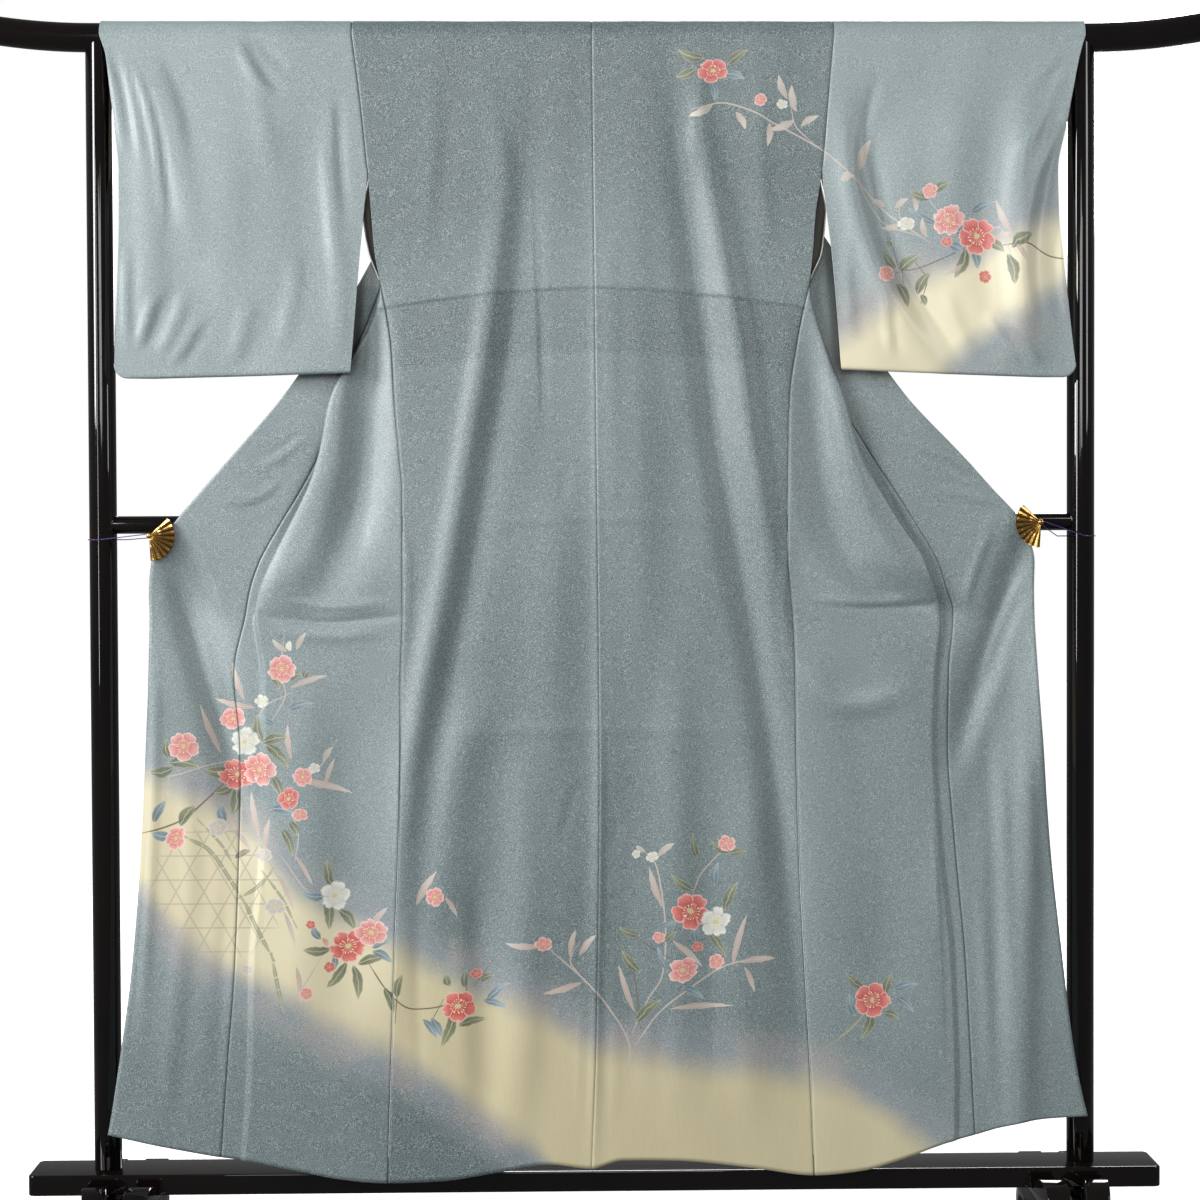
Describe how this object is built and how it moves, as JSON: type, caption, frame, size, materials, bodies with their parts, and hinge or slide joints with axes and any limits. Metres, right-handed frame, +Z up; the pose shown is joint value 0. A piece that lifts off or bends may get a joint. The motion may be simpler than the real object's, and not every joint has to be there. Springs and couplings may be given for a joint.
{
  "type": "silk kimono on a kimono rack",
  "caption": "Lined silk visiting kimono spread over the bar of a black lacquered rack, back to the viewer, its turned-out fronts held at the collar ends by pleated metal fans.",
  "frame": {"origin": "on the floor, under the middle of the rack", "axes": "+X to the right of someone who faces the kimono's back, +Y away from them, +Z up"},
  "size_m": [1.8182, 0.352, 1.7239],
  "materials": {
    "silk": "satin-faced crepe silk, dusty blue-green with a gradient-dyed pale band",
    "lacquer": "black lacquer on wood, mirror gloss",
    "gold": "polished",
    "thread": "twisted purple thread"
  },
  "bodies": {
    "root": {"base_plank": "lacquer", "top_bar": "lacquer", "mid_rail": "lacquer", "upright_left": "lacquer", "upright_right": "lacquer", "foot_left_outer": "lacquer", "foot_left_inner": "lacquer", "foot_right_outer": "lacquer", "foot_right_inner": "lacquer", "body_left": "silk", "body_right": "silk", "gore_left": "silk", "gore_right": "silk", "sleeve_left": "silk", "sleeve_right": "silk", "collar": "silk", "over_collar": "silk", "clip_left": "gold", "clip_left_jaw": "gold", "clip_right": "gold", "clip_right_jaw": "gold", "tie_left": "thread", "tie_right": "thread"}
  },
  "joints": []
}
